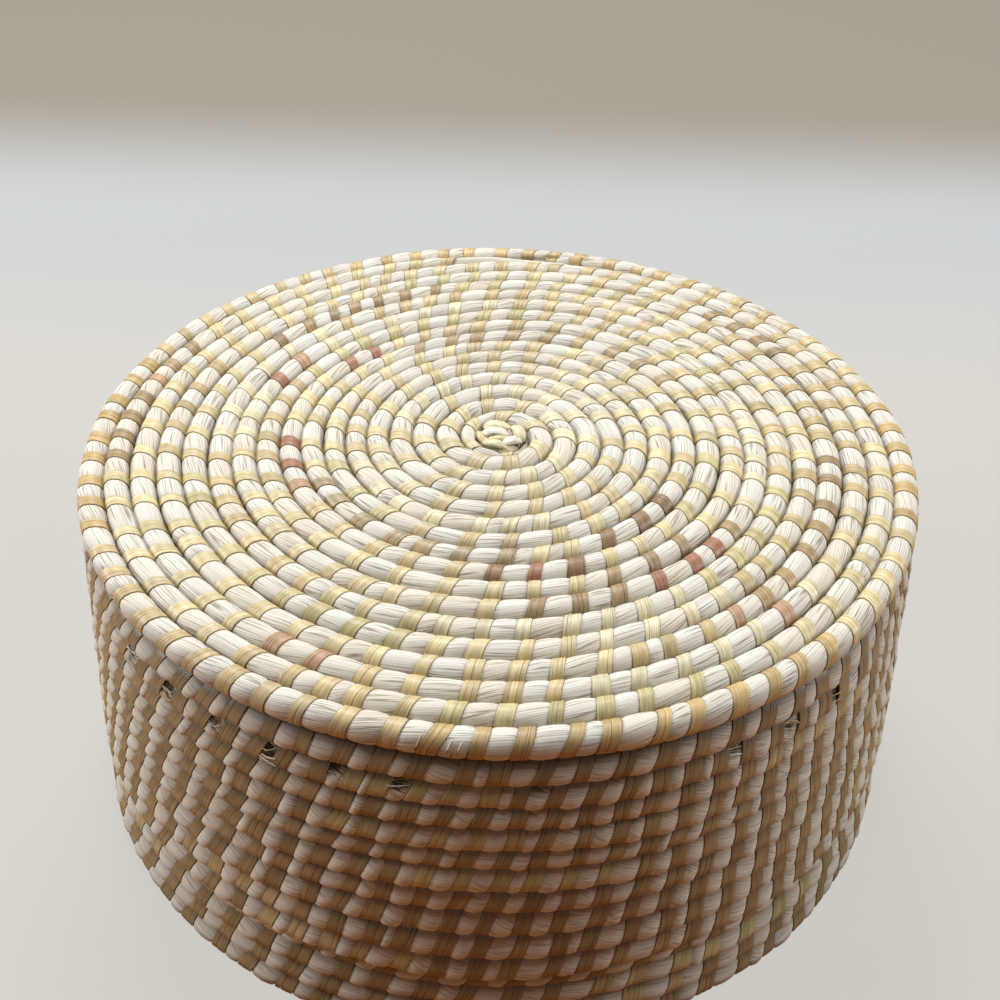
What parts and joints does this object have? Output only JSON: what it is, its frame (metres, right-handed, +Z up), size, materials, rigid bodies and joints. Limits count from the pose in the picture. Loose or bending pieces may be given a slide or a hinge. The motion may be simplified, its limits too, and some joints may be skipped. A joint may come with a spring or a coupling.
{
  "type": "lidded coil basket",
  "caption": "Round basket of coiled straw sewn with raffia strips, with a coiled lift-off lid that a ring under it locates in the mouth.",
  "frame": {"origin": "on the surface that the basket stands on, under the middle of its base", "axes": "+Z up, -Y towards the camera of the picture, +X to its right"},
  "size_m": [0.312, 0.3072, 0.1396],
  "materials": {
    "straw_bundle": "dry pale straw fibres, matt with a slight sheen",
    "raffia_strip": "flat honey-tan raffia strips, satin along the fibre"
  },
  "bodies": {
    "basket": {"base_centre_knot": "raffia_strip", "base_coil": "straw_bundle", "heel_coil": "straw_bundle", "wall_coil": "straw_bundle", "mouth_rim_coil": "straw_bundle"},
    "lid": {"lid_centre_knot": "raffia_strip", "lid_coil": "straw_bundle", "lid_rim_coil": "straw_bundle", "lid_locating_ring": "straw_bundle"}
  },
  "joints": [
    {"name": "lid_lift", "type": "slide", "parent": "basket", "child": "lid", "axis": [0, 0, 1], "range_m": [0, 0.15]}
  ]
}
